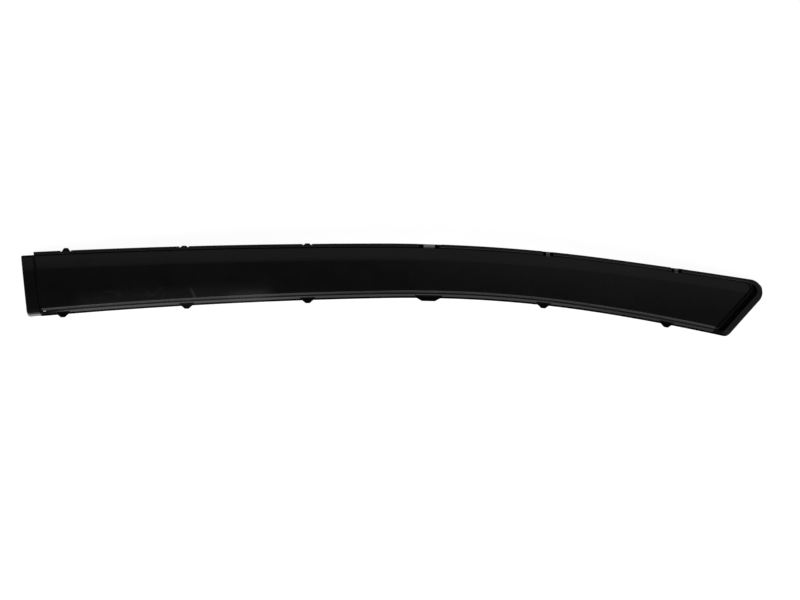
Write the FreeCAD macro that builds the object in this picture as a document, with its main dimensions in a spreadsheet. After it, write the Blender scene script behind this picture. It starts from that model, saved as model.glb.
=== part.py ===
# Bumper moulding: a long black trim strip moulded in one piece.
# The strip lies on its open back, face up. X runs along it, from the stepped joint end to the pointed
# tail, Y runs across it and Z is the direction in which the mould opens. Millimetres and degrees.
#
# The whole strip is made from two kinds of shape. Outlines, drawn as seen from the front, are pushed
# through along Z. Slabs, drawn as a slice across the strip, are swept along the bowed crest line.
# Where an outline and a slab meet, they leave one layer of the moulding.

import FreeCAD
import Part
import Sketcher
import math
import os

NODE = "bumper_moulding"

SIZES = {
    # crest line: three tangent arcs in a plane that leans from upright towards the upper edge
    "crest_rise": 10.7,
    "crest_lean": 13.2,
    "crest_radius_joint": 3436.0,
    "crest_radius_bend": 774.0,
    "crest_radius_tail": 1566.0,
    "crest_bend_start": 361.9,
    "crest_bend_end": 563.7,
    "crest_height": 16.7,
    # upper edge as seen from the front: two tangent arcs and a straight tail
    "upper_rise": 2.37,
    "upper_radius_joint": 13527.0,
    "upper_radius_bend": 3067.0,
    "upper_bend_start": 347.1,
    "upper_bend_end": 584.1,
    "upper_height": 36.6,
    # lower edge as seen from the front: three tangent arcs
    "lower_rise": 4.81,
    "lower_radius_joint": 7225.0,
    "lower_radius_bend": 1822.0,
    "lower_radius_tail": 3109.0,
    "lower_bend_start": 363.7,
    "lower_bend_end": 595.0,
    "lower_drop": 30.1,
    # joint end with its stepped lap tab
    "joint_place": 16.4,
    "joint_lean": 9.8,
    "tab_length": 13.8,
    "tab_lean": 8.3,
    "tab_step": 3.0,
    "tab_upper_inset": 4.0,
    "tab_lower_inset": 1.6,
    "tab_upper_radius": 1.5,
    "tab_lower_radius": 3.5,
    # pointed tail
    "tail_place": 728.1,
    "tail_angle": 50.6,
    "tail_tip_radius": 13.0,
    "tail_heel_radius": 8.0,
    "tail_rim": 6.0,
    "tail_channel": 5.0,
    "tail_channel_depth": 4.0,
    "channel_side_gap": 0.8,
    "tail_reach": 60.0,
    "face_tip_radius": 7.0,
    "face_heel_radius": 2.5,
    "inner_corner_radius": 1.0,
    # layers
    "wall": 2.5,
    "rim_width": 4.4,
    "rim_overhang": 2.0,
    "rim_edge_radius": 1.5,
    "face_height": 5.5,
    "face_edge_radius": 1.6,
    "skirt_depth": 8.0,
    # crown across the strip
    "crest_blend_radius": 33.0,
    "upper_slope_start": 13.0,
    "upper_crown_radius": 300.0,
    "lower_slope_start": 1.0,
    "lower_crown_radius": 290.0,
    # snap hooks behind both long edges: a tongue with a latch that grips behind the bumper skin
    "hook_root_width": 12.5,
    "hook_tip_width": 4.0,
    "hook_wide_root_width": 26.0,
    "hook_wide_tip_width": 13.0,
    "hook_thickness": 2.0,
    "hook_depth": 14.0,
    "hook_setback": 2.3,
    "hook_slot_gap": 1.2,
    "slot_top": 3.0,
    "latch_depth": 5.5,
    "latch_edge": 1.0,
    "latch_foot": 13.0,
    "latch_root": 0.6,
    "lower_latch_reach": 2.2,
    "upper_latch_reach": 1.5,
    "end_latch_reach": 3.5,
    "lower_notch": 1.8,
    "upper_notch": 1.2,
    "notch_height": 20.0,
    # open pockets above the three upper hooks nearest the tail, each with a ramp in the middle
    "pocket_reach": 0.8,
    "pocket_depth": 6.4,
    "pocket_inner_width": 6.0,
    "pocket_wide_depth": 5.0,
    "pocket_wide_inner_width": 20.0,
    "ramp_width": 3.6,
    "ramp_wide_width": 11.0,
    "ramp_setback": 1.3,
    "ramp_rise": 0.5,
    # cross ribs behind the face
    "rib_thickness": 1.6,
    "rib_setback": 3.0,
}

# Distance of each hook from the tab's free end, joint end first.
UPPER_HOOKS = {"upper_hook_one": 42.7, "upper_hook_two": 161.4, "upper_hook_three": 284.3,
               "upper_hook_four": 405.3, "upper_hook_five": 523.4, "upper_hook_six": 652.4}
LOWER_HOOKS = {"lower_hook_one": 42.2, "lower_hook_two": 166.3, "lower_hook_three": 286.5,
               "lower_hook_four": 406.0, "lower_hook_five": 520.1, "lower_hook_six": 643.6}
WIDE_HOOKS = ("upper_hook_four", "lower_hook_four")
POCKET_HOOKS = ("upper_hook_four", "upper_hook_five", "upper_hook_six")
END_HOOKS = ("upper_hook_one",)

# Distance of each cross rib from the tab's free end.
RIBS = {"rib_one": 102.0, "rib_two": 223.0, "rib_three": 345.0, "rib_four": 464.0, "rib_five": 587.0}

# Room beyond the strip that the slabs and cutting shapes need.
OVERRUN = 30.0
SLAB_HALF_WIDTH = 62.0
SLAB_BOTTOM = 42.0
PRISM_HALF_HEIGHT = 160.0

Vector = FreeCAD.Vector
UP = Vector(0, 0, 1)

document = FreeCAD.newDocument("bumper_moulding_model")


def make_sheet():
    """The spreadsheet that holds every driving size under its own name."""
    sheet = document.addObject("Spreadsheet::Sheet", "sizes")
    rows = dict(SIZES)
    rows.update(UPPER_HOOKS)
    rows.update(LOWER_HOOKS)
    rows.update(RIBS)
    for row, (name, value) in enumerate(rows.items(), start=1):
        sheet.set("A%d" % row, name)
        sheet.set("B%d" % row, str(value))
        sheet.setAlias("B%d" % row, name)
    document.recompute()
    return sheet


sheet = make_sheet()


def size(name):
    return float(sheet.get(name))


def total(cells):
    """The sum of some sizes, each taken away if its name starts with a minus sign."""
    return sum(-size(cell[1:]) if cell.startswith("-") else size(cell) for cell in cells)


def formula(cells):
    """The same sum as an expression on the spreadsheet."""
    terms = ["- sizes." + cell[1:] if cell.startswith("-") else "+ sizes." + cell for cell in cells]
    return "0 " + " ".join(terms)


def opposite(cells):
    return tuple(cell[1:] if cell.startswith("-") else "-" + cell for cell in cells)


def polar(angle):
    """Unit vector at an angle, in degrees, from the sketch's x axis."""
    return Vector(math.cos(math.radians(angle)), math.sin(math.radians(angle)), 0)


def circle_line(centre, radius, point, angle, side):
    """Where a line through point at an angle crosses a circle: side +1 is the far crossing, -1 the near."""
    along = polar(angle)
    foot = (centre - point).dot(along)
    gap = (point + along * foot - centre).Length
    return point + along * (foot + side * math.sqrt(radius * radius - gap * gap))


class Stretch:
    """One arc, bending down as it runs to the right, or one straight line of an edge."""

    def __init__(self, start, rise, radius, end_x):
        self.radius = radius
        self.rise = rise
        if radius is None:
            self.centre = None
            self.start = start
            self.end = start + Vector(1, math.tan(math.radians(rise)), 0) * (end_x - start.x)
            self.end_rise = rise
        else:
            self.centre = start - polar(90 + rise) * radius
            turned = math.sin(math.radians(rise)) - (end_x - start.x) / radius
            self.end_rise = math.degrees(math.asin(turned))
            self.start = start
            self.end = self.centre + polar(90 + self.end_rise) * radius

    def rise_at(self, x):
        if self.centre is None:
            return self.rise
        return math.degrees(math.asin((self.centre.x - x) / self.radius))

    def point_at(self, x):
        if self.centre is None:
            return self.start + Vector(1, math.tan(math.radians(self.rise)), 0) * (x - self.start.x)
        return self.centre + polar(90 + self.rise_at(x)) * self.radius

    def moved(self, inset):
        """The same stretch, inset along its normal, downwards for a positive inset."""
        copy = Stretch.__new__(Stretch)
        copy.rise = self.rise
        copy.end_rise = self.end_rise
        copy.start = self.start - polar(90 + self.rise) * inset
        copy.end = self.end - polar(90 + self.end_rise) * inset
        copy.centre = self.centre
        copy.radius = None if self.radius is None else self.radius - inset
        return copy

    def trimmed(self, start=None, end=None):
        """The same stretch, cut back to new end points that lie on it."""
        copy = self.moved(0)
        if start is not None:
            copy.start = start
            copy.rise = self.rise_at(start.x)
        if end is not None:
            copy.end = end
            copy.end_rise = self.rise_at(end.x)
        return copy

    def curve(self):
        if self.centre is None:
            return Part.LineSegment(self.start, self.end)
        circle = Part.Circle(self.centre, UP, self.radius)
        return Part.ArcOfCircle(circle, math.radians(90 + self.end_rise), math.radians(90 + self.rise))


def edge_chain(height, rise, radii, joins):
    """Tangent stretches from x = 0 to the last join."""
    stretches = []
    start = Vector(0, height, 0)
    for radius, end_x in zip(radii, joins):
        stretches.append(Stretch(start, rise, radius, end_x))
        start = stretches[-1].end
        rise = stretches[-1].end_rise
    return stretches


def stretch_over(chain, x):
    for stretch in chain:
        if x <= stretch.end.x:
            return stretch
    return chain[-1]


def upper_edge():
    radii = (size("upper_radius_joint"), size("upper_radius_bend"), None)
    joins = (size("upper_bend_start"), size("upper_bend_end"), size("tail_place") + OVERRUN)
    return edge_chain(size("upper_height"), size("upper_rise"), radii, joins)


def lower_edge():
    radii = (size("lower_radius_joint"), size("lower_radius_bend"), size("lower_radius_tail"))
    joins = (size("lower_bend_start"), size("lower_bend_end"), size("tail_place") + OVERRUN)
    return edge_chain(-size("lower_drop"), size("lower_rise"), radii, joins)


def crest_line():
    """The crest line in its own plane, with the overrun at both ends."""
    radii = (size("crest_radius_joint"), size("crest_radius_bend"), size("crest_radius_tail"))
    joins = (size("crest_bend_start"), size("crest_bend_end"), size("tail_place") + 2 * OVERRUN)
    chain = edge_chain(0, size("crest_rise"), radii, joins)
    first = chain[0]
    chain[0] = first.trimmed(start=first.point_at(-OVERRUN))
    return chain


def bind(sketch, constraint, name, expression):
    """Adds a dimension to a sketch and ties it to the spreadsheet."""
    index = sketch.addConstraint(constraint)
    sketch.renameConstraint(index, name)
    sketch.setExpression("Constraints." + name, expression)


def add_chain(sketch, chain, radius_cells, inset_cells=()):
    """Draws tangent stretches into a sketch and ties their radii to the spreadsheet."""
    indices = []
    for number, (stretch, cell) in enumerate(zip(chain, radius_cells)):
        index = sketch.addGeometry(stretch.curve(), False)
        if stretch.centre is not None:
            name = "%s_%d" % (cell, number)
            bound = formula((cell,) + tuple(inset_cells))
            bind(sketch, Sketcher.Constraint("Radius", index, stretch.radius), name, bound)
        if indices:
            before = chain[number - 1]
            right_end = 1 if before.centre is not None else 2
            left_end = 2 if stretch.centre is not None else 1
            sketch.addConstraint(Sketcher.Constraint("Tangent", indices[-1], right_end, index, left_end))
        indices.append(index)
    return indices


def corner_on_lines(first_point, first_angle, second_point, second_angle, radius):
    """Centre of an arc that rounds the corner between two lines and lies to the right of both."""
    a = first_point + polar(first_angle - 90) * radius
    b = second_point + polar(second_angle - 90) * radius
    u, v = polar(first_angle), polar(second_angle)
    across = b - a
    step = (across.x * v.y - across.y * v.x) / (u.x * v.y - u.y * v.x)
    return a + u * step


def outline(name, side_inset=(), joint_inset=(), tail_inset=(), tip_radius=(), heel_radius=()):
    """The strip's outline from the front: long edges, rounded pointed tail and slanted joint end.

    Each inset and radius is a tuple of spreadsheet names, which are added up.
    """
    inset = total(side_inset)
    upper = [stretch.moved(inset) for stretch in upper_edge()]
    lower = [stretch.moved(-inset) for stretch in lower_edge()]

    slant = 90 + size("joint_lean")
    slant_point = Vector(size("joint_place") + total(joint_inset), 0, 0)
    upper[0] = upper[0].trimmed(start=circle_line(upper[0].centre, upper[0].radius, slant_point, slant, 1))
    lower[0] = lower[0].trimmed(start=circle_line(lower[0].centre, lower[0].radius, slant_point, slant, 1))

    down_tail = size("tail_angle") - 180
    tail_point = Vector(size("tail_place"), 0, 0) + polar(down_tail - 90) * total(tail_inset)
    tip, heel = total(tip_radius), total(heel_radius)
    straight = upper[-1]
    tip_centre = corner_on_lines(straight.start, straight.rise, tail_point, down_tail, tip)
    upper[-1] = straight.trimmed(end=tip_centre + polar(90 + straight.rise) * tip)
    tail_start = tip_centre + polar(down_tail + 90) * tip

    last = lower[-1]
    heel_line = tail_point + polar(down_tail - 90) * heel
    heel_centre = circle_line(last.centre, last.radius + heel, heel_line, down_tail, -1)
    toward = heel_centre - last.centre
    lower[-1] = last.trimmed(end=last.centre + toward * (last.radius / toward.Length))
    tail_end = heel_centre + polar(down_tail + 90) * heel

    sketch = document.addObject("Sketcher::SketchObject", name)
    upper_cells = ("upper_radius_joint", "upper_radius_bend", "")
    lower_cells = ("lower_radius_joint", "lower_radius_bend", "lower_radius_tail")
    tops = add_chain(sketch, upper, upper_cells, opposite(side_inset))
    bottoms = add_chain(sketch, lower, lower_cells, side_inset)
    tip_arc = Part.ArcOfCircle(Part.Circle(tip_centre, UP, tip),
                               math.radians(down_tail + 90), math.radians(90 + upper[-1].rise))
    heel_arc = Part.ArcOfCircle(Part.Circle(heel_centre, UP, heel),
                                math.radians(lower[-1].end_rise - 90), math.radians(down_tail + 90))
    tip_index = sketch.addGeometry(tip_arc, False)
    tail_index = sketch.addGeometry(Part.LineSegment(tail_start, tail_end), False)
    heel_index = sketch.addGeometry(heel_arc, False)
    joint_index = sketch.addGeometry(Part.LineSegment(lower[0].start, upper[0].start), False)
    sketch.addConstraint(Sketcher.Constraint("Tangent", tops[-1], 2, tip_index, 2))
    sketch.addConstraint(Sketcher.Constraint("Tangent", tip_index, 1, tail_index, 1))
    sketch.addConstraint(Sketcher.Constraint("Tangent", tail_index, 2, heel_index, 2))
    sketch.addConstraint(Sketcher.Constraint("Tangent", heel_index, 1, bottoms[-1], 1))
    sketch.addConstraint(Sketcher.Constraint("Coincident", joint_index, 1, bottoms[0], 2))
    sketch.addConstraint(Sketcher.Constraint("Coincident", joint_index, 2, tops[0], 2))
    bind(sketch, Sketcher.Constraint("Radius", tip_index, tip), "tip_radius", formula(tip_radius))
    bind(sketch, Sketcher.Constraint("Radius", heel_index, heel), "heel_radius", formula(heel_radius))
    return sketch


def prism(name, base):
    """An outline pushed through along Z, above and below the strip."""
    solid = document.addObject("Part::Extrusion", name)
    solid.Base = base
    solid.DirMode = "Custom"
    solid.Dir = UP
    solid.LengthFwd = PRISM_HALF_HEIGHT
    solid.LengthRev = PRISM_HALF_HEIGHT
    solid.Solid = True
    return solid


def spine_placement():
    """Lays the crest line's plane: its x along X, its y up and towards the upper edge."""
    base = Vector(0, size("crest_height"), 0)
    return FreeCAD.Placement(base, FreeCAD.Rotation(Vector(1, 0, 0), 90 - size("crest_lean")))


def section_placement(stretch, x):
    """The plane across the strip at a place on the crest line: its x across, its y away from the back."""
    lean = math.radians(size("crest_lean"))
    across = Vector(0, -math.cos(lean), math.sin(lean))
    turn = FreeCAD.Rotation(across, stretch.rise_at(x))
    level = FreeCAD.Rotation(Vector(1, 1, 1), 120)
    return FreeCAD.Placement(spine_placement().multVec(stretch.point_at(x)), turn.multiply(level))


def make_spine():
    sketch = document.addObject("Sketcher::SketchObject", "crest_line")
    cells = ("crest_radius_joint", "crest_radius_bend", "crest_radius_tail")
    add_chain(sketch, crest_line(), cells)
    sketch.Placement = spine_placement()
    return sketch


def crown_stretches(depth):
    """The face's crown across the strip: upper slope, crest blend and lower slope, at a depth below it."""
    blend = size("crest_blend_radius")
    high, low = size("upper_slope_start"), size("lower_slope_start")
    centre = Vector(0, -blend - depth, 0)
    upper_start = centre + polar(90 - high) * blend
    lower_start = centre + polar(90 + low) * blend
    upper_centre = upper_start - polar(90 - high) * size("upper_crown_radius")
    lower_centre = lower_start - polar(90 + low) * size("lower_crown_radius")
    upper_turn = math.degrees(math.acos((SLAB_HALF_WIDTH - upper_centre.x) / size("upper_crown_radius")))
    lower_turn = math.degrees(math.acos((-SLAB_HALF_WIDTH - lower_centre.x) / size("lower_crown_radius")))
    return (
        (upper_centre, size("upper_crown_radius"), upper_turn, 90 - high, "upper_crown_radius"),
        (centre, blend, 90 - high, 90 + low, "crest_blend_radius"),
        (lower_centre, size("lower_crown_radius"), 90 + low, lower_turn, "lower_crown_radius"),
    )


def draw_crown(sketch, depth):
    indices = []
    for centre, radius, first, last, cell in crown_stretches(depth):
        circle = Part.Circle(centre, UP, radius)
        arc = Part.ArcOfCircle(circle, math.radians(first), math.radians(last))
        index = sketch.addGeometry(arc, False)
        name = "%s_%d" % (cell, index)
        bind(sketch, Sketcher.Constraint("Radius", index, radius), name, "sizes." + cell)
        if indices:
            sketch.addConstraint(Sketcher.Constraint("Tangent", indices[-1], 2, index, 1))
        indices.append(index)
    right = sketch.getPoint(indices[0], 1)
    left = sketch.getPoint(indices[-1], 2)
    return indices, right, left


def slab(name, spine, top_depth, bottom_depth=None):
    """A layer between two depths below the crown, swept along the crest line.

    Without a bottom depth, it reaches down past the strip with a flat underside.
    """
    sketch = document.addObject("Sketcher::SketchObject", name + "_section")
    tops, top_right, top_left = draw_crown(sketch, top_depth)
    if bottom_depth is None:
        low_right = Vector(SLAB_HALF_WIDTH, -SLAB_BOTTOM, 0)
        low_left = Vector(-SLAB_HALF_WIDTH, -SLAB_BOTTOM, 0)
        low = sketch.addGeometry(Part.LineSegment(low_left, low_right), False)
        low_ends = ((low, 1), (low, 2))
    else:
        lows, low_right, low_left = draw_crown(sketch, bottom_depth)
        low_ends = ((lows[-1], 2), (lows[0], 1))
    right = sketch.addGeometry(Part.LineSegment(low_right, top_right), False)
    left = sketch.addGeometry(Part.LineSegment(top_left, low_left), False)
    sketch.addConstraint(Sketcher.Constraint("Coincident", right, 1, low_ends[1][0], low_ends[1][1]))
    sketch.addConstraint(Sketcher.Constraint("Coincident", right, 2, tops[0], 1))
    sketch.addConstraint(Sketcher.Constraint("Coincident", left, 1, tops[-1], 2))
    sketch.addConstraint(Sketcher.Constraint("Coincident", left, 2, low_ends[0][0], low_ends[0][1]))
    sketch.Placement = section_placement(crest_line()[0], -OVERRUN)
    sweep = document.addObject("Part::Sweep", name)
    sweep.Sections = [sketch]
    sweep.Spine = (spine, [])
    sweep.Solid = True
    sweep.Frenet = False
    return sweep


def rounded_polygon(name, corners, radius_cells):
    """A closed sketch through corners listed clockwise. A corner with radius cells gets an arc."""
    sketch = document.addObject("Sketcher::SketchObject", name)
    radii = [total(cells) for cells in radius_cells]
    arrivals, departures, arcs = [], [], []
    for number, corner in enumerate(corners):
        radius = radii[number]
        back = (corners[number - 1] - corner).normalize()
        ahead = (corners[(number + 1) % len(corners)] - corner).normalize()
        half = math.acos(back.dot(ahead)) / 2
        arrivals.append(corner + back * (radius / math.tan(half)))
        departures.append(corner + ahead * (radius / math.tan(half)))
        arcs.append(corner + (back + ahead).normalize() * (radius / math.sin(half)))
    lines = []
    for number in range(len(corners)):
        following = (number + 1) % len(corners)
        line = Part.LineSegment(departures[number], arrivals[following])
        lines.append(sketch.addGeometry(line, False))
    for number, cells in enumerate(radius_cells):
        if not cells:
            sketch.addConstraint(Sketcher.Constraint("Coincident", lines[number - 1], 2, lines[number], 1))
            continue
        centre = arcs[number]
        circle = Part.Circle(centre, UP, radii[number])
        first = math.atan2(departures[number].y - centre.y, departures[number].x - centre.x)
        last = math.atan2(arrivals[number].y - centre.y, arrivals[number].x - centre.x)
        arc = sketch.addGeometry(Part.ArcOfCircle(circle, first, last), False)
        sketch.addConstraint(Sketcher.Constraint("Tangent", lines[number - 1], 2, arc, 2))
        sketch.addConstraint(Sketcher.Constraint("Tangent", lines[number], 1, arc, 1))
        bind(sketch, Sketcher.Constraint("Radius", arc, radii[number]), "corner_%d" % number, formula(cells))
    return sketch


def tab_outline(name, inset=(), reach_in=()):
    """The lap tab from the front, reaching in past the joint end."""
    upper = upper_edge()[0].moved(total(("tab_upper_inset",) + inset))
    lower = lower_edge()[0].moved(-total(("tab_lower_inset",) + inset))
    outer_slant = 90 + size("tab_lean")
    inner_slant = 90 + size("joint_lean")
    outer = Vector(size("joint_place") - size("tab_length") + total(inset), 0, 0)
    inner = Vector(size("joint_place") + total(reach_in), 0, 0)
    corners = [
        circle_line(lower.centre, lower.radius, outer, outer_slant, 1),
        circle_line(upper.centre, upper.radius, outer, outer_slant, 1),
        circle_line(upper.centre, upper.radius, inner, inner_slant, 1),
        circle_line(lower.centre, lower.radius, inner, inner_slant, 1),
    ]
    upper_corner = () if inset else ("tab_upper_radius",)
    lower_corner = ("tab_lower_radius",) + opposite(inset)
    return rounded_polygon(name, corners, (lower_corner, upper_corner, (), ()))


def boolean(kind, name, parts):
    joined = document.addObject("Part::" + kind, name)
    joined.Refine = False
    if kind == "Cut":
        joined.Base = parts[0]
        joined.Tool = parts[1]
    else:
        joined.Shapes = parts
    return joined


def outward_top_edges(shape):
    """Edges where an upright side of a solid meets its top."""
    chosen = []
    for number, edge in enumerate(shape.Edges, start=1):
        middle = edge.valueAt((edge.FirstParameter + edge.LastParameter) / 2)
        tilts = []
        for face in shape.ancestorsOfType(edge, Part.Face):
            u, v = face.Surface.parameter(middle)
            tilts.append(face.normalAt(u, v).z)
        if len(tilts) == 2 and min(abs(tilts[0]), abs(tilts[1])) < 0.01 and max(tilts) > 0.5:
            chosen.append(number)
    return chosen


def rounded(name, base, radius):
    document.recompute()
    fillet = document.addObject("Part::Fillet", name)
    fillet.Base = base
    fillet.Edges = [(number, radius, radius) for number in outward_top_edges(base.Shape)]
    return fillet


def make_channel(spine):
    """The cross channel between the face and the tail's rim: what it removes and the block around it."""
    rise, depth, wall = size("face_height"), size("tail_channel_depth"), size("wall")
    area = document.addObject("Part::Box", "tail_area")
    area.setExpression("Placement.Base.x", "sizes.tail_place - 2 * sizes.tail_reach")
    area.setExpression("Length", "4 * sizes.tail_reach")
    area.Placement.Base.y = -PRISM_HALF_HEIGHT
    area.Placement.Base.z = -PRISM_HALF_HEIGHT
    area.Width = 2 * PRISM_HALF_HEIGHT
    area.Height = 2 * PRISM_HALF_HEIGHT
    tip, heel = ("face_tip_radius",), ("face_heel_radius",)
    side = ("rim_width", "channel_side_gap")
    near, far = ("tail_rim",), ("tail_rim", "tail_channel")
    cuts = []
    for name, inset, start, end in (
            ("channel", side, near, far),
            ("channel_block", side + ("-wall",), near + ("-wall",), far + ("wall",))):
        whole = outline(name + "_outline", inset, (), start, tip, heel)
        tail = boolean("MultiCommon", name + "_tail", [area, prism(name + "_prism", whole)])
        stop = outline(name + "_stop_outline", side + ("-wall",), (), end, tip, heel)
        cuts.append(boolean("Cut", name + "_area", [tail, prism(name + "_stop", stop)]))
    removed = boolean("MultiCommon", "channel", [
        cuts[0], slab("channel_slab", spine, rise - 1, rise + depth)])
    block = boolean("MultiCommon", "channel_block", [
        cuts[1], slab("channel_block_slab", spine, rise + wall / 2, rise + depth + wall)])
    return removed, block


def make_shell(spine, notches):
    """The moulded shell without its hooks: raised face, notched rim, skirt, lap tab and tail channel."""
    wall, rise, skirt = size("wall"), size("face_height"), size("skirt_depth")
    base = rise + skirt
    face_side = ("rim_width",)
    face_tail = ("tail_rim", "tail_channel")
    under = ("rim_overhang",)
    rim_sketch = outline("rim_outline", (), (), (), ("tail_tip_radius",), ("tail_heel_radius",))
    skirt_sketch = outline("skirt_outline", under, (), under,
                           ("tail_tip_radius", "-rim_overhang"), ("tail_heel_radius", "-rim_overhang"))
    face_sketch = outline("face_outline", face_side, (), face_tail,
                          ("face_tip_radius",), ("face_heel_radius",))
    rim = boolean("MultiCommon", "rim_layer", [
        prism("rim_prism", rim_sketch), slab("rim_slab", spine, rise, rise + wall)])
    skirt_layer = boolean("MultiCommon", "skirt_layer", [
        prism("skirt_prism", skirt_sketch), slab("skirt_slab", spine, rise + wall / 2, base)])
    face = boolean("MultiCommon", "face_layer", [
        prism("face_prism", face_sketch), slab("face_slab", spine, 0, rise + wall)])
    tab = boolean("MultiCommon", "tab_layer", [
        prism("tab_prism", tab_outline("tab_outline", (), ("wall",))),
        slab("tab_slab", spine, size("tab_step"), base)])
    blank = boolean("MultiFuse", "face_on_skirt", [
        rounded("rounded_face", face, size("face_edge_radius")), skirt_layer])
    notched_rim = boolean("Cut", "notched_rim", [
        rounded("rounded_rim", rim, size("rim_edge_radius")), boolean("MultiFuse", "notches", notches)])
    blank = boolean("MultiFuse", "with_rim", [blank, notched_rim])
    blank = boolean("MultiFuse", "with_tab", [blank, rounded("rounded_tab", tab, size("rim_edge_radius"))])

    rim_room = outline("rim_room_outline", under + ("wall",), ("wall",), under + ("wall",),
                       ("tail_tip_radius", "-rim_overhang", "-wall"),
                       ("tail_heel_radius", "-rim_overhang", "-wall"))
    face_room = outline("face_room_outline", face_side + ("wall",), ("wall",), face_tail + ("wall",),
                        ("face_tip_radius", "-wall"), ("inner_corner_radius",))
    tab_room = tab_outline("tab_room_outline", ("wall",), ("wall", "wall"))
    hollowed = blank
    for name, sketch, depth in (("face_room", face_room, wall), ("rim_room", rim_room, rise + wall),
                                ("tab_room", tab_room, size("tab_step") + wall)):
        room = boolean("MultiCommon", name, [prism(name + "_prism", sketch),
                                             slab(name + "_slab", spine, depth)])
        hollowed = boolean("Cut", "without_" + name, [hollowed, room])
    channel, channel_block = make_channel(spine)
    braced = boolean("MultiFuse", "braced", [hollowed, channel_block, make_ribs(spine)])
    return boolean("Cut", "shell", [braced, channel])


def make_ribs(spine):
    """Thin cross ribs under the face, from one side wall to the other."""
    plates = []
    for name in RIBS:
        plate = document.addObject("Part::Box", name + "_plate")
        plate.setExpression("Placement.Base.x", "sizes.%s - sizes.rib_thickness / 2" % name)
        plate.setExpression("Length", "sizes.rib_thickness")
        plate.Placement.Base.y = -PRISM_HALF_HEIGHT
        plate.Placement.Base.z = -PRISM_HALF_HEIGHT
        plate.Width = 2 * PRISM_HALF_HEIGHT
        plate.Height = 2 * PRISM_HALF_HEIGHT
        plates.append(plate)
    area = outline("rib_outline", ("rim_width", "rib_thickness"), ("wall",), ("tail_rim", "tail_channel"),
                   ("face_tip_radius",), ("face_heel_radius",))
    bottom = size("face_height") + size("skirt_depth") - size("rib_setback")
    return boolean("MultiCommon", "ribs", [
        boolean("MultiFuse", "rib_plates", plates), prism("rib_prism", area),
        slab("rib_slab", spine, size("wall") / 2, bottom)])


def crown_height(across):
    """Height of the crown, under the crest, at a distance across the strip."""
    for centre, radius, first, last, _cell in crown_stretches(0):
        if centre.x + radius * math.cos(math.radians(last)) <= across:
            return centre.y + math.sqrt(radius * radius - (across - centre.x) ** 2)
    return 0.0


def rim_point(x, y):
    """The point of the rim's top surface above a place in the front view."""
    chain = crest_line()
    along, across = x, y - size("crest_height")
    for _step in range(30):
        frame = section_placement(stretch_over(chain, along), along)
        point = frame.multVec(Vector(across, crown_height(across) - size("face_height"), 0))
        along += x - point.x
        across += y - point.y
    return point


def wedge(name, placement, start, end, start_size, end_size):
    """A tapered block along its own Y. Each size is its width along X, and its lowest and highest Z."""
    block = document.addObject("Part::Wedge", name)
    block.setExpression("Ymin", start)
    block.setExpression("Ymax", end)
    for prefix, (width, lowest, highest) in (("", start_size), ("2", end_size)):
        block.setExpression("X%smin" % prefix, "-(%s) / 2" % width)
        block.setExpression("X%smax" % prefix, "(%s) / 2" % width)
        block.setExpression("Z%smin" % prefix, lowest)
        block.setExpression("Z%smax" % prefix, highest)
    block.Placement = placement
    return block


def hook_placements(name, edge, outward):
    """Two frames on the rim's outer edge: Y down and Z outwards, and Y outwards and Z down."""
    x = size(name)
    stretch = stretch_over(edge, x)
    point = rim_point(x, stretch.point_at(x).y)
    along = polar(stretch.rise_at(x)) * outward
    away = polar(stretch.rise_at(x) + 90) * outward
    hanging = FreeCAD.Rotation(along, -UP, away, "XYZ")
    reaching = FreeCAD.Rotation(-along, away, -UP, "XYZ")
    return FreeCAD.Placement(point, hanging), FreeCAD.Placement(point, reaching)


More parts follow.
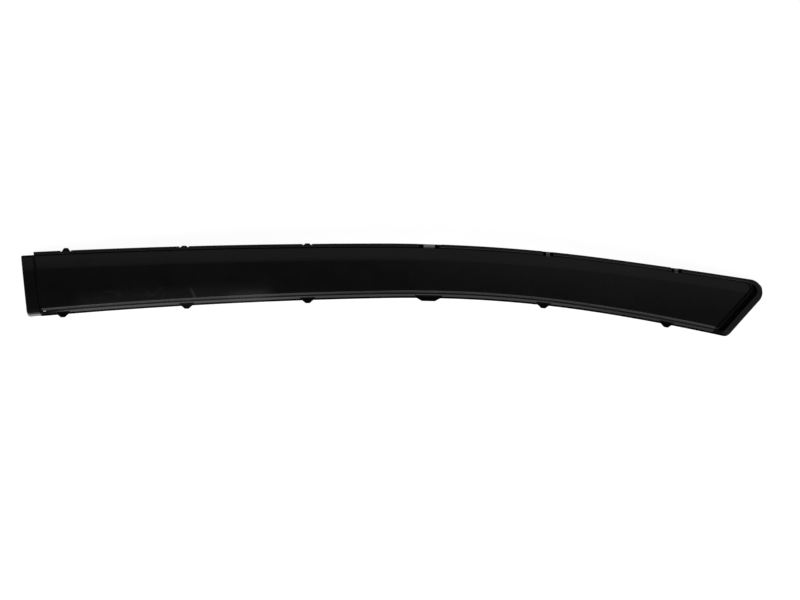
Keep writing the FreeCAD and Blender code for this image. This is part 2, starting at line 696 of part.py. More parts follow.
def make_hook(name, edge, outward):
    """One snap hook, as five lists: rim notches, skirt slots, pocket walls, pockets and the hook's own solids."""
    wide = name in WIDE_HOOKS
    root, tip = ("sizes.hook_wide_root_width", "sizes.hook_wide_tip_width") if wide else (
        "sizes.hook_root_width", "sizes.hook_tip_width")
    hanging, reaching = hook_placements(name, edge, outward)
    if name in POCKET_HOOKS:
        reach = "sizes.pocket_reach"
    elif name in END_HOOKS:
        reach = "sizes.end_latch_reach"
    else:
        reach = "sizes.lower_latch_reach" if outward < 0 else "sizes.upper_latch_reach"

    slot = ("%s + 2 * sizes.hook_slot_gap" % root, "-sizes.rim_width - sizes.latch_root", "-sizes.rim_overhang / 2")
    slots = [wedge(name + "_slot", hanging, "sizes.slot_top", "sizes.skirt_depth + 4 * sizes.wall", slot, slot)]
    back = "-sizes.hook_setback - sizes.hook_thickness"
    tongue = wedge(name + "_tongue", hanging, "sizes.wall / 2", "sizes.hook_depth",
                   (root, back, "-sizes.hook_setback"), (tip, back, "-sizes.hook_setback"))
    latch = wedge(name + "_latch", reaching, "-sizes.hook_setback - sizes.latch_root", reach,
                  (root, "sizes.latch_depth", "sizes.latch_foot"),
                  (tip, "sizes.latch_depth", "sizes.latch_depth + sizes.latch_edge"))
    if name not in POCKET_HOOKS:
        notch = "-sizes.lower_notch" if outward < 0 else "-sizes.upper_notch"
        opening = wedge(name + "_notch", reaching, notch, reach,
                        (root, "-sizes.notch_height", "sizes.notch_height"),
                        (tip, "-sizes.notch_height", "sizes.notch_height"))
        return [opening], slots, [], [], [tongue, latch]

    kind = "sizes.pocket_wide" if wide else "sizes.pocket"
    depth, inner = kind + "_depth", kind + "_inner_width"
    back = "-%s - sizes.wall" % depth
    outer = "%s + 2 * sizes.wall" % root
    pocket_block = wedge(name + "_block", reaching, back, "-sizes.rim_width - sizes.wall / 2",
                         (outer, "sizes.wall / 2 - sizes.face_height", "sizes.latch_depth + sizes.wall"),
                         (outer, "sizes.wall / 2 - sizes.face_height", "sizes.latch_depth + sizes.wall"))
    pocket_floor = wedge(name + "_floor", reaching, back, reach,
                         (root, "sizes.latch_depth", "sizes.latch_depth + sizes.wall"),
                         (root, "sizes.latch_depth", "sizes.latch_depth + sizes.latch_edge"))
    pocket = wedge(name + "_pocket", reaching, "-" + depth, reach,
                   (inner, "-2 * sizes.face_height", "sizes.latch_depth"),
                   (root, "-2 * sizes.face_height", "sizes.latch_depth"))
    ramp_width = "sizes.ramp_wide_width" if wide else "sizes.ramp_width"
    ramp = wedge(name + "_ramp", reaching, "-%s + sizes.ramp_setback" % depth, reach,
                 (ramp_width, "-sizes.ramp_rise", "sizes.latch_depth + sizes.latch_edge / 2"),
                 (ramp_width, "sizes.latch_depth", "sizes.latch_depth + sizes.latch_edge / 2"))
    return [], slots, [pocket_block, pocket_floor], [pocket], [tongue, latch, ramp]


def make_moulding(spine):
    """The shell with all its hooks, slots and pockets."""
    notches, slots, blocks, pockets, hooks = [], [], [], [], []
    for places, edge, outward in ((UPPER_HOOKS, upper_edge(), 1), (LOWER_HOOKS, lower_edge(), -1)):
        for name in places:
            made = make_hook(name, edge, outward)
            for whole, part in zip((notches, slots, blocks, pockets, hooks), made):
                whole.extend(part)
    shell = make_shell(spine, notches)
    slotted = boolean("Cut", "slotted_shell", [shell, boolean("MultiFuse", "slots", slots)])
    backed = boolean("MultiFuse", "backed_shell", [slotted] + blocks)
    opened = boolean("Cut", "opened_shell", [backed, boolean("MultiFuse", "pockets", pockets)])
    return boolean("MultiFuse", NODE, [opened] + hooks)


def check_document(moulding):
    """Stops if any object failed, or if the moulding isn't one sound solid."""
    for thing in document.Objects:
        if "Invalid" in thing.State or "Error" in thing.State:
            raise RuntimeError("%s failed: %s" % (thing.Label, thing.State))
    shape = moulding.Shape
    if shape.isNull() or not shape.isValid() or len(shape.Solids) != 1:
        raise RuntimeError("%s isn't one sound solid" % moulding.Label)


spine = make_spine()
moulding = make_moulding(spine)
document.recompute()
check_document(moulding)
box = moulding.Shape.optimalBoundingBox()
moulding.Placement = FreeCAD.Placement(-Vector(box.Center.x, box.Center.y, box.ZMin), FreeCAD.Rotation())
document.recompute()
check_document(moulding)

os.makedirs("parts", exist_ok=True)
moulding.Shape.exportStep("parts/%s.step" % NODE)
box = moulding.Shape.optimalBoundingBox()
print("length %.1f  width %.1f  height %.1f mm" % (box.XLength, box.YLength, box.ZLength))
print("volume %.0f mm3 in %d faces" % (moulding.Shape.Volume, len(moulding.Shape.Faces)))
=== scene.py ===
"""A black moulded bumper strip on a white studio floor. Units are metres."""

import functools
import math

import bmesh
import bpy
from mathutils import Matrix, Quaternion, Vector

# Camera: a long lens high over the strip, a little in front of its lower edge
CAMERA_DISTANCE = 5.0
CAMERA_TILT = math.radians(12.0)
CAMERA_ROLL = math.radians(1.7865)
CAMERA_REACH = 100.0
LENS = 226.37
SENSOR = 36.0
AIM_RIGHT = 0.00844
AIM_DOWN = 0.01507
AIM_HEIGHT = 0.035

# Studio: a round white floor that curves up into a low wall and looks darker away from the strip
FLOOR_RINGS = (0.5, 2.0, 8.0)
FLOOR_SIDES = 96
WALL_BEND = 1.5
WALL_BEND_STEPS = 8
WALL_TOP = 2.2
FLOOR_WHITE = 0.80
FLOOR_SEEN_WHITE = 0.25
FLOOR_GLOW = 0.92
FAR_GLOW = 0.30
GLOW_NEAR = 0.8
GLOW_FAR = 3.0
SKY = 0.03
SEEN_RAYS = ("Is Camera Ray", "Is Glossy Ray", "Is Transmission Ray")

# Lamps: name, place, width, height, watts, and turn about the lamp's own axis in degrees
LAMPS = (
    ("lamp_left", (-3.6, -2.9, 1.8), 3.2, 2.4, 85, 0),
    ("lamp_right", (3.6, -2.9, 1.8), 3.2, 2.4, 85, 0),
    ("lamp_behind", (0.8, 2.64, 3.6), 8.0, 3.5, 49, 2),
    ("lamp_front", (0.0, -3.15, 3.3), 6.5, 3.2, 150, 0),
    ("lamp_tail", (1.59, 0.77, 4.14), 4.0, 1.2, 3.7, 0),
)

# The moulding's own zero point, from which its outline, hooks and pockets are measured
MOULD_X = -0.36907
MOULD_Y = -0.00934

# Long edges of the outline as joined circles: centre X, centre Y, radius and the last X
LOWER_ARCS = (
    (0.60583, -7.22966, 7.225, 0.3637),
    (0.42476, -1.82969, 1.822, 0.595),
    (0.30451, -3.11106, 3.109, 1.0),
)
UPPER_ARCS = (
    (0.55938, -13.47883, 13.527, 0.3471),
    (0.39523, -3.02012, 3.067, 0.5841),
)

# The straight end of the upper edge: start X, start Y and rise
UPPER_LINE_START = (0.5841, 0.04106)
UPPER_LINE_RISE = math.radians(-3.531)

# Rim along the long edges, and how far the rounded edge of the face reaches in from it
RIM_WIDTH = 0.0044
FACE_EDGE = 0.0016

# The slanted tail and its tip, where the face stands back behind a channel, and the distances from
# the tail between which its own sizes give way to those of the long edges
TAIL_POINT = (0.7281, 0.0)
TAIL_RISE = math.radians(50.6)
TAIL_RIM = 0.0060
TAIL_CHANNEL = 0.0050
TAIL_FACE_EDGE = 0.0026
TIP_RADIUS = 0.0130
FACE_TIP_RADIUS = 0.0070
NEAR_TAIL = (0.016, 0.022)

# The step of the lap joint and half the width of its dark line
JOINT_POINT = (0.0164, 0.0)
JOINT_TURN = math.radians(9.8)
JOINT_SHADOW = 0.0016
JOINT_SOFT = 0.0006

# Hooks that show dark behind the lower rim: X on the moulding and half the width at the outline,
# how fast they widen inwards, and how far above the outline the dark reaches
HOOK_HALF = 0.0055
WIDE_HOOK_HALF = 0.0115
HOOK_SHADOWS = (
    (0.0422, HOOK_HALF),
    (0.1663, HOOK_HALF),
    (0.2865, HOOK_HALF),
    (0.4060, WIDE_HOOK_HALF),
    (0.5201, HOOK_HALF),
    (0.6436, HOOK_HALF),
)
HOOK_TAPER = 1.06
HOOK_DEPTH = 0.0024
HOOK_SOFT = 0.0004

# Pockets at the upper edge: X on the moulding, half the ramp's width and half the shaded width,
# then where they start and end inside the outline, and how softly they, their ramps and sides end
POCKETS = (
    (0.4053, 0.0056, 0.0100),
    (0.5234, 0.0020, 0.0055),
    (0.6524, 0.0020, 0.0055),
)
POCKET_SPAN = (0.0002, 0.0062, 0.0004)
POCKET_RAMP_SOFT = (0.0002, 0.0004)
POCKET_SIDE_SOFT = 0.0008

# In the values of the plastic, two limits bound a smooth change, and three are a band's two limits
# and the width of its soft ends. A grain is a noise's scale and detail.

# Colour of the plastic: the darker and the lighter black of its clouds, and a slightly cool tint
CLOUD_GRAIN = (14.0, 4.0)
CLOUD_LEVELS = (0.35, 0.75)
CLOUD_TONES = (0.0022, 0.0030)
TINT = (1.0, 1.0, 1.03)

# Pale wear: where it lies along X with its soft ends, how it fades above the lower edge, and its tone
WEAR_X = (-0.300, -0.135, 0.025)
WEAR_FADE = (0.007, 0.022)
WEAR_TONE = 0.0045
PATCH_X = (-0.150, -0.132, 0.022)
PATCH_FADE = (0.007, 0.0125)
PATCH_TONE = 0.009

# Fine scratches in the wear: thin contour lines of one noise, kept where a coarser noise is high
SCRATCH_GRAIN = (55.0, 1.0)
NOISE_MIDDLE = 0.5
SCRATCH_LINE = (0.004, 0.020)
SCRATCH_TONE = 0.0035
SCRATCH_BAND = (0.009, 0.020, 0.006)
SCRATCH_PATCH_GRAIN = (22.0, 0.0)
SCRATCH_PATCHES = (0.45, 0.60)

# One deeper score: a leaning line that crosses SCORE_X at SCORE_HEIGHT above the lower edge
SCORE_X = -0.1992
SCORE_HEIGHT = 0.016
SCORE_LEAN = -0.5
SCORE_LINE = (0.0005, 0.0016)
SCORE_BAND = (0.0075, 0.0130, 0.0035)
SCORE_TONE = 0.018

# Polish: how rough the skin is, and the fine grain that the mould leaves on it
PLASTIC_IOR = 1.5
ROUGH_GRAIN = (60.0, 5.0)
ROUGHNESS = (0.24, 0.32)
SKIN_GRAIN = (1800.0, 2.0)
SKIN_BUMP = 0.25
SKIN_BUMP_HEIGHT = 0.0001

# Shine of the skin, of the front rim at its rubbed and its clean end, and of the pockets' ramps
SKIN_SHINE = 0.20
RUBBED_SHINE = 0.40
RIM_SHINE = 0.30
RUBBED_FADE = (-0.12, -0.04)
RUBBED_SOFT = 0.0004
RAMP_SHINE = 0.35

# Shine of the dark places: the groove round the face at its left and right end, the tail's
# channel, the joint, and the edges and hooks that show no shine
GROOVE_SHINES = (0.008, 0.048)
GROOVE_FADE = (0.0, 0.06)
GROOVE_SOFT = 0.0004
GROOVE_FACE_SOFT = 0.0006
GROOVE_FACING = (0.05, 0.20)
CHANNEL_SHINE = 0.02
JOINT_SHINE = 0.04
DULL = 0.0
LOWER_CORNER = (0.0011, 0.0016)

# How far the rims lean the surface along Y: the front rim at its left and its tail end, from where
# it starts and within its margins, and the tail's rim, which leans more away from the upper edge
RIM_LEANS = (-0.32, -0.17)
RIM_LEAN_X = (0.12, 0.25)
RIM_START_X = (-0.345, -0.315)
RIM_MARGIN = 0.0012
RIM_SOFT = 0.0006
TAIL_LEAN = 0.28
TAIL_LEAN_FADE = (0.004, 0.030)
TAIL_LEAN_SOFT = 0.0008

# Where the smoothed normal strays from a facet's own, the facet's is used, on the face away from its edges
STRAY_LIKENESS = (0.9930, 0.9990)
FACE_FROM_LOWER = (0.0057, 0.0060)
FACE_FROM_UPPER = (0.0070, 0.0076)

# Where the mix node keeps the first of its two inputs, and its result, for each kind of data
MIX_SOCKETS = {"FLOAT": (2, 0), "VECTOR": (4, 1)}

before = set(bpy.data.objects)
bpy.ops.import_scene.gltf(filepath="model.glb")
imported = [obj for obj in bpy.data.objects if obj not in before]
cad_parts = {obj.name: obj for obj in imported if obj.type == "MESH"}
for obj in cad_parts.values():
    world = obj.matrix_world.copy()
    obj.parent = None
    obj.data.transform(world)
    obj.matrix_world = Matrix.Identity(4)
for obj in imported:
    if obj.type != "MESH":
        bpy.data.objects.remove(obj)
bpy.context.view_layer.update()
scene = bpy.context.scene
scene.view_settings.view_transform = "Standard"
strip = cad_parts["bumper_moulding"]


class Shading:
    """A material's or world's node tree, with short names for its wiring."""

    def __init__(self, owner):
        owner.use_nodes = True
        self.tree = owner.node_tree
        self.tree.nodes.clear()

    def add(self, kind, **values):
        """A new node with some of its settings."""
        node = self.tree.nodes.new(kind)
        for name, value in values.items():
            setattr(node, name, value)
        return node

    def link(self, source, target):
        """Wires an output to an input."""
        self.tree.links.new(source, target)

    def put(self, socket, value):
        """Links a socket to the input or writes a plain value on it."""
        if isinstance(value, (int, float, tuple)):
            socket.default_value = value
        else:
            self.link(value, socket)

    def fill(self, node, values):
        """Puts values or sockets on a node's first inputs, leaving out those that are None."""
        for socket, value in zip(node.inputs, values):
            if value is not None:
                self.put(socket, value)

    def math(self, operation, first, second=None):
        """A math node on numbers or sockets."""
        node = self.add("ShaderNodeMath", operation=operation)
        self.fill(node, (first, second))
        return node.outputs[0]

    def vector(self, operation, first, second=None):
        """A vector math node on vectors or sockets."""
        node = self.add("ShaderNodeVectorMath", operation=operation)
        self.fill(node, (first, second))
        return node.outputs["Value" if operation in ("LENGTH", "DOT_PRODUCT") else "Vector"]

    def product(self, *values):
        """Several numbers or sockets multiplied."""
        return functools.reduce(lambda first, second: self.math("MULTIPLY", first, second), values)

    def total(self, *values):
        """Several numbers or sockets added."""
        return functools.reduce(lambda first, second: self.math("ADD", first, second), values)

    def largest(self, *values):
        """The largest of several numbers or sockets."""
        return functools.reduce(lambda first, second: self.math("MAXIMUM", first, second), values)

    def ramp(self, value, low, high, start=0.0, end=1.0):
        """Maps a number smoothly between two limits."""
        node = self.add("ShaderNodeMapRange", interpolation_type="SMOOTHSTEP")
        self.link(value, node.inputs["Value"])
        for name, number in (("From Min", low), ("From Max", high), ("To Min", start), ("To Max", end)):
            node.inputs[name].default_value = number
        return node.outputs["Result"]

    def fade(self, value, low, high, start=1.0):
        """A number that falls smoothly from its start to 0 between two limits."""
        return self.ramp(value, low, high, start, 0.0)

    def band(self, value, low, high, soft):
        """1 between two limits and 0 beyond them, with soft ends outside."""
        return self.product(self.ramp(value, low - soft, low), self.fade(value, high, high + soft))

    def blend(self, factor, first, second, kind="FLOAT"):
        """Mixes two numbers or sockets, or two vectors where the kind is VECTOR."""
        node = self.add("ShaderNodeMix", data_type=kind)
        pair, result = MIX_SOCKETS[kind]
        self.put(node.inputs[0], factor)
        self.put(node.inputs[pair], first)
        self.put(node.inputs[pair + 1], second)
        return node.outputs[result]

    def noise(self, place, scale, detail):
        """A noise texture's value, from 0 to 1."""
        node = self.add("ShaderNodeTexNoise")
        node.inputs["Scale"].default_value = scale
        node.inputs["Detail"].default_value = detail
        self.link(place, node.inputs["Vector"])
        return node.outputs["Fac"]


class Spot:
    """A shaded point on the strip, with its distances from the edges, positive inwards, and the joint."""

    def __init__(self, shading):
        self.shading = shading
        self.place = shading.add("ShaderNodeTexCoord").outputs["Object"]
        split = shading.add("ShaderNodeSeparateXYZ")
        shading.link(self.place, split.inputs[0])
        self.x, self.y = split.outputs[0], split.outputs[1]
        self.flat = shading.vector("MULTIPLY", self.place, (1.0, 1.0, 0.0))

        self.lower = shading.math("MULTIPLY", self.inside_arcs(LOWER_ARCS), -1.0)
        past_arcs = self.past_x(UPPER_ARCS[-1][3])
        self.upper = shading.blend(past_arcs, self.inside_arcs(UPPER_ARCS), self.below_upper_line())
        self.tail = shading.math("MULTIPLY", self.past_line(TAIL_POINT, TAIL_RISE - math.pi / 2), -1.0)
        self.near_tail = shading.fade(self.tail, *NEAR_TAIL)
        self.joint = shading.math("ABSOLUTE", self.past_line(JOINT_POINT, JOINT_TURN))

        self.outline = self.inside_tip(0.0, 0.0, TIP_RADIUS)
        self.face = self.inside_tip(RIM_WIDTH, TAIL_RIM + TAIL_CHANNEL, FACE_TIP_RADIUS)
        rim = shading.blend(self.near_tail, RIM_WIDTH, TAIL_RIM)
        self.past_rim = shading.math("SUBTRACT", self.outline, rim)
        edge = shading.blend(self.near_tail, FACE_EDGE, TAIL_FACE_EDGE)
        self.past_face_edge = shading.math("SUBTRACT", self.face, edge)

    def from_point(self, x, y):
        """The flat vector to this spot from a point that is measured on the moulding."""
        return self.shading.vector("SUBTRACT", self.flat, (x + MOULD_X, y + MOULD_Y, 0.0))

    def past_x(self, x):
        """1 beyond an X on the moulding, and 0 before it."""
        return self.shading.math("GREATER_THAN", self.x, x + MOULD_X)

    def beside_x(self, x):
        """How far from an X on the moulding the spot lies, to either side."""
        return self.shading.math("ABSOLUTE", self.shading.math("SUBTRACT", self.x, x + MOULD_X))

    def past_line(self, point, turn):
        """How far past a straight line the spot lies, where turn is the direction across the line."""
        return self.shading.vector("DOT_PRODUCT", self.from_point(*point), heading(turn))

    def inside_arc(self, arc):
        """How far inside one circle the spot lies, positive towards its centre."""
        centre_x, centre_y, radius = arc[:3]
        reach = self.shading.vector("LENGTH", self.from_point(centre_x, centre_y))
        return self.shading.math("SUBTRACT", radius, reach)

    def inside_arcs(self, arcs):
        """How far inside an edge of joined circles the spot lies, where each ends at its last X."""
        distance = self.inside_arc(arcs[0])
        for before, arc in zip(arcs, arcs[1:]):
            distance = self.shading.blend(self.past_x(before[3]), distance, self.inside_arc(arc))
        return distance

    def below_upper_line(self):
        """How far below the straight end of the upper edge the spot lies."""
        start_x, start_y = UPPER_LINE_START
        along = self.shading.math("SUBTRACT", self.x, start_x + MOULD_X)
        level = self.shading.math("MULTIPLY", along, math.tan(UPPER_LINE_RISE))
        level = self.shading.math("ADD", level, start_y + MOULD_Y)
        below = self.shading.math("SUBTRACT", level, self.y)
        return self.shading.math("MULTIPLY", below, math.cos(UPPER_LINE_RISE))

    def inside_tip(self, upper_inset, tail_inset, radius):
        """How far inside the upper edge and the tail the spot lies, with a round tip between them."""
        shading = self.shading
        upper_in = Vector((math.sin(UPPER_LINE_RISE), -math.cos(UPPER_LINE_RISE)))
        tail_in = Vector((-math.sin(TAIL_RISE), math.cos(TAIL_RISE)))
        first = upper_inset + radius + upper_in.dot(Vector(UPPER_LINE_START))
        second = tail_inset + radius + tail_in.dot(Vector(TAIL_POINT))
        share = upper_in.x * tail_in.y - upper_in.y * tail_in.x
        away = self.from_point((first * tail_in.y - upper_in.y * second) / share,
                               (upper_in.x * second - first * tail_in.x) / share)
        at_tip = []
        for rise in (UPPER_LINE_RISE, TAIL_RISE):
            beyond = shading.vector("DOT_PRODUCT", away, heading(rise))
            at_tip.append(shading.math("GREATER_THAN", beyond, 0.0))
        straight = shading.math("MINIMUM", shading.math("SUBTRACT", self.upper, upper_inset),
                                shading.math("SUBTRACT", self.tail, tail_inset))
        rounded = shading.math("SUBTRACT", radius, shading.vector("LENGTH", away))
        return shading.blend(shading.product(*at_tip), straight, rounded)


def heading(turn):
    """A flat direction, as a shader's vector."""
    return (math.cos(turn), math.sin(turn), 0.0)


def facing(right, up, back):
    """The rotation of a camera or lamp from the directions of its own X, Y and Z."""
    return Matrix((right, up, back)).transposed()


def make_camera():
    """A long lens, tilted and rolled as the photograph's."""
    data = bpy.data.cameras.new("camera")
    data.lens = LENS
    data.sensor_width = SENSOR
    data.clip_end = CAMERA_REACH
    camera = bpy.data.objects.new("camera", data)
    scene.collection.objects.link(camera)
    back = Vector((0, -math.sin(CAMERA_TILT), math.cos(CAMERA_TILT)))
    level_up = Vector((0, math.cos(CAMERA_TILT), math.sin(CAMERA_TILT)))
    right = Vector((1, 0, 0)) * math.cos(CAMERA_ROLL) + level_up * math.sin(CAMERA_ROLL)
    up = back.cross(right)
    aim = Vector((0, 0, AIM_HEIGHT)) + right * AIM_RIGHT - up * AIM_DOWN
    camera.matrix_world = facing(right, up, back).to_4x4()
    camera.location = aim + back * CAMERA_DISTANCE
    scene.camera = camera


def floor_mesh():
    """A round floor of rings about the origin, bent up at its rim into a low wall."""
    rings = [(radius, 0.0) for radius in FLOOR_RINGS]
    floor_radius = FLOOR_RINGS[-1]
    for step in range(1, WALL_BEND_STEPS + 1):
        turn = math.pi / 2 * step / WALL_BEND_STEPS
        rings.append((floor_radius + WALL_BEND * math.sin(turn), WALL_BEND * (1 - math.cos(turn))))
    rings.append((floor_radius + WALL_BEND, WALL_TOP))

    form = bmesh.new()
    centre = form.verts.new((0, 0, 0))
    turns = [2 * math.pi * side / FLOOR_SIDES for side in range(FLOOR_SIDES)]
    loops = [[form.verts.new((radius * math.cos(turn), radius * math.sin(turn), height)) for turn in turns]
             for radius, height in rings]
    for side in range(FLOOR_SIDES):
        after = (side + 1) % FLOOR_SIDES
        form.faces.new((centre, loops[0][side], loops[0][after]))
        for inner, outer in zip(loops, loops[1:]):
            form.faces.new((inner[side], outer[side], outer[after], inner[after]))
    mesh = bpy.data.meshes.new("studio_floor")
    form.to_mesh(mesh)
    form.free()
    mesh.shade_smooth()
    return mesh


def white(value):
    """An opaque grey or white of one brightness."""
    return (value, value, value, 1)


def white_floor():
    """A floor that lights the strip as plain white paper does, and is seen as a white that glows."""
    material = bpy.data.materials.new("white_floor")
    shading = Shading(material)
    bounce = shading.add("ShaderNodeBsdfDiffuse")
    bounce.inputs["Color"].default_value = white(FLOOR_WHITE)
    seen = shading.add("ShaderNodeBsdfDiffuse")
    seen.inputs["Color"].default_value = white(FLOOR_SEEN_WHITE)
    glow = shading.add("ShaderNodeEmission")
    place = shading.add("ShaderNodeTexCoord")
    reach = shading.vector("LENGTH", place.outputs["Object"])
    shading.link(shading.ramp(reach, GLOW_NEAR, GLOW_FAR, FLOOR_GLOW, FAR_GLOW), glow.inputs["Strength"])
    path = shading.add("ShaderNodeLightPath")
    seen_rays = shading.largest(*(path.outputs[kind] for kind in SEEN_RAYS))
    both = shading.add("ShaderNodeAddShader")
    shading.link(seen.outputs[0], both.inputs[0])
    shading.link(glow.outputs[0], both.inputs[1])
    chosen = shading.add("ShaderNodeMixShader")
    shading.link(seen_rays, chosen.inputs[0])
    shading.link(bounce.outputs[0], chosen.inputs[1])
    shading.link(both.outputs[0], chosen.inputs[2])
    output = shading.add("ShaderNodeOutputMaterial")
    shading.link(chosen.outputs[0], output.inputs["Surface"])
    return material


def make_floor():
    """The studio's floor and wall, which the export leaves out."""
    floor = bpy.data.objects.new("studio_floor", floor_mesh())
    floor.data.materials.append(white_floor())
    scene.collection.objects.link(floor)


def make_lamp(name, place, width, height, power, turn):
    """An area lamp that faces the strip, its width along X, turned by some degrees about its own axis."""
    data = bpy.data.lights.new(name, "AREA")
    data.shape = "RECTANGLE"
    data.size = width
    data.size_y = height
    data.energy = power
    lamp = bpy.data.objects.new(name, data)
    scene.collection.objects.link(lamp)
    away = Vector(place).normalized()
    along = (Vector((1, 0, 0)) - away * away.x).normalized()
    rotation = facing(along, away.cross(along), away).to_quaternion()
    rotation = rotation @ Quaternion((0, 0, 1), math.radians(turn))
    lamp.location = place
    lamp.rotation_euler = rotation.to_euler()
    lamp.visible_camera = False


def make_light():
    """A faint even sky and the studio's lamps."""
    world = bpy.data.worlds.new("studio")
    scene.world = world
    shading = Shading(world)
    sky = shading.add("ShaderNodeBackground")
    sky.inputs["Color"].default_value = white(1.0)
    sky.inputs["Strength"].default_value = SKY
    output = shading.add("ShaderNodeOutputWorld")
    shading.link(sky.outputs[0], output.inputs["Surface"])
    for lamp in LAMPS:
        make_lamp(*lamp)


def scuff_marks(shading, spot):
    """Pale wear near the lower edge of the left half, with fine scratches in it and one deeper score."""
    along = shading.band(spot.x, *WEAR_X)
    worn = shading.product(along, shading.fade(spot.lower, *WEAR_FADE, WEAR_TONE))
    patch = shading.product(shading.band(spot.x, *PATCH_X),
                            shading.fade(spot.lower, *PATCH_FADE, PATCH_TONE))

    swing = shading.math("SUBTRACT", shading.noise(spot.place, *SCRATCH_GRAIN), NOISE_MIDDLE)
    lines = shading.fade(shading.math("ABSOLUTE", swing), *SCRATCH_LINE, SCRATCH_TONE)
    patchy = shading.ramp(shading.noise(spot.place, *SCRATCH_PATCH_GRAIN), *SCRATCH_PATCHES)
    fine = shading.product(lines, patchy, along, shading.band(spot.lower, *SCRATCH_BAND))

    lean = shading.math("MULTIPLY", shading.math("SUBTRACT", spot.lower, SCORE_HEIGHT), SCORE_LEAN)
    middle = shading.math("ADD", lean, SCORE_X)
    side = shading.math("ABSOLUTE", shading.math("SUBTRACT", spot.x, middle))
    score = shading.product(shading.fade(side, *SCORE_LINE, SCORE_TONE),
                            shading.band(spot.lower, *SCORE_BAND))
    return shading.total(worn, patch, fine, score)


def hook_shadows(shading, spot):
    """1 where a hook shows dark behind the lower rim, and 0 elsewhere."""
    widening = shading.math("MULTIPLY", spot.lower, HOOK_TAPER)
    shadows = []
    for centre, half in HOOK_SHADOWS:
        inside = shading.math("SUBTRACT", shading.math("ADD", widening, half), spot.beside_x(centre))
        shadows.append(shading.ramp(inside, -HOOK_SOFT, HOOK_SOFT))
    low = shading.fade(spot.lower, HOOK_DEPTH - HOOK_SOFT, HOOK_DEPTH + HOOK_SOFT)
    return shading.product(shading.largest(*shadows), low)


def pocket_zones(shading, spot):
    """Two masks: the pale ramps in the pockets of the upper edge, and the dark sides of the pockets."""
    ramps = []
    sides = []
    inner_soft, outer_soft = POCKET_RAMP_SOFT
    for centre, ramp_half, side_half in POCKETS:
        beside = spot.beside_x(centre)
        ramps.append(shading.fade(beside, ramp_half - inner_soft, ramp_half + outer_soft))
        sides.append(shading.fade(beside, side_half - POCKET_SIDE_SOFT, side_half))
    within = shading.band(spot.outline, *POCKET_SPAN)
    return [shading.product(shading.largest(*masks), within) for masks in (ramps, sides)]


def plastic_colour(shading, spot):
    """A slightly clouded black with its wear."""
    clouds = shading.ramp(shading.noise(spot.place, *CLOUD_GRAIN), *CLOUD_LEVELS, *CLOUD_TONES)
    tone = shading.total(clouds, scuff_marks(shading, spot))
    colour = shading.add("ShaderNodeCombineColor")
    for channel, share in zip(colour.inputs, TINT):
        shading.link(shading.math("MULTIPLY", tone, share), channel)
    return colour.outputs[0]


def plastic_shine(shading, spot, surface):
    """How strongly each place mirrors: more on rims and ramps, less in grooves and under edges."""
    on_rim = shading.fade(spot.lower, RIM_WIDTH + FACE_EDGE, RIM_WIDTH + FACE_EDGE + RUBBED_SOFT)
    shine = shading.blend(on_rim, SKIN_SHINE, shading.ramp(spot.x, *RUBBED_FADE, RUBBED_SHINE, RIM_SHINE))

    facing_up = shading.vector("DOT_PRODUCT", surface.outputs["True Normal"], (0.0, 0.0, 1.0))
    groove = shading.product(shading.ramp(spot.past_rim, -GROOVE_SOFT, 0.0),
                             shading.fade(spot.past_face_edge, 0.0, GROOVE_FACE_SOFT),
                             shading.ramp(facing_up, *GROOVE_FACING))
    groove_shine = shading.ramp(spot.x, *GROOVE_FADE, *GROOVE_SHINES)
    shine = shading.blend(groove, shine, shading.blend(spot.near_tail, groove_shine, CHANNEL_SHINE))

    ramps, sides = pocket_zones(shading, spot)
    shine = shading.blend(ramps, shading.blend(sides, shine, DULL), RAMP_SHINE)
    in_joint = shading.fade(spot.joint, JOINT_SHADOW - JOINT_SOFT, JOINT_SHADOW)
    shine = shading.blend(in_joint, shine, JOINT_SHINE)
    shine = shading.blend(shading.fade(spot.lower, *LOWER_CORNER), shine, DULL)
    return shading.blend(hook_shadows(shading, spot), shine, DULL)


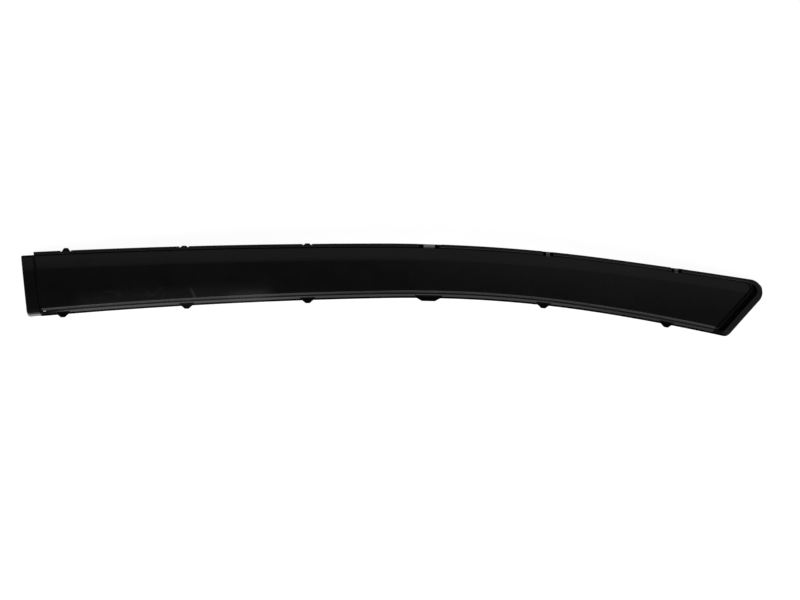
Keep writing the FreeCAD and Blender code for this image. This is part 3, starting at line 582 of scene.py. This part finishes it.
def plastic_normal(shading, spot, surface):
    """The surface's direction: steady on the face, finely grained, and leaning over on the rims."""
    likeness = shading.vector("DOT_PRODUCT", surface.outputs["Normal"], surface.outputs["True Normal"])
    astray = shading.product(shading.fade(likeness, *STRAY_LIKENESS),
                             shading.ramp(spot.lower, *FACE_FROM_LOWER),
                             shading.ramp(spot.upper, *FACE_FROM_UPPER))
    steady = shading.blend(astray, surface.outputs["Normal"], surface.outputs["True Normal"], "VECTOR")

    bump = shading.add("ShaderNodeBump")
    bump.inputs["Strength"].default_value = SKIN_BUMP
    bump.inputs["Distance"].default_value = SKIN_BUMP_HEIGHT
    shading.link(shading.noise(spot.place, *SKIN_GRAIN), bump.inputs["Height"])
    shading.link(steady, bump.inputs["Normal"])

    front_rim = shading.product(shading.band(spot.lower, RIM_MARGIN, RIM_WIDTH - RIM_MARGIN, RIM_SOFT),
                                shading.ramp(spot.x, *RIM_START_X),
                                shading.ramp(spot.x, *RIM_LEAN_X, *RIM_LEANS))
    tail_rim = shading.product(spot.near_tail,
                               shading.ramp(spot.upper, *TAIL_LEAN_FADE, 0.0, TAIL_LEAN),
                               shading.fade(spot.past_rim, -TAIL_LEAN_SOFT, 0.0))
    lean = shading.add("ShaderNodeCombineXYZ")
    shading.link(shading.total(front_rim, tail_rim), lean.inputs[1])
    leaning = shading.vector("ADD", bump.outputs["Normal"], lean.outputs[0])
    return shading.vector("NORMALIZE", leaning)


def plastic():
    """Black satin plastic whose polish and wear follow the moulding's own edges."""
    material = bpy.data.materials.new("moulded_plastic")
    shading = Shading(material)
    spot = Spot(shading)
    surface = shading.add("ShaderNodeNewGeometry")
    roughness = shading.ramp(shading.noise(spot.place, *ROUGH_GRAIN), 0.0, 1.0, *ROUGHNESS)
    shader = shading.add("ShaderNodeBsdfPrincipled")
    shader.inputs["IOR"].default_value = PLASTIC_IOR
    shading.link(plastic_colour(shading, spot), shader.inputs["Base Color"])
    shading.link(roughness, shader.inputs["Roughness"])
    shading.link(plastic_shine(shading, spot, surface), shader.inputs["Specular IOR Level"])
    shading.link(plastic_normal(shading, spot, surface), shader.inputs["Normal"])
    output = shading.add("ShaderNodeOutputMaterial")
    shading.link(shader.outputs[0], output.inputs["Surface"])
    return material


make_camera()
make_floor()
make_light()
skin = plastic()
for material_slot in strip.material_slots:
    material_slot.material = skin
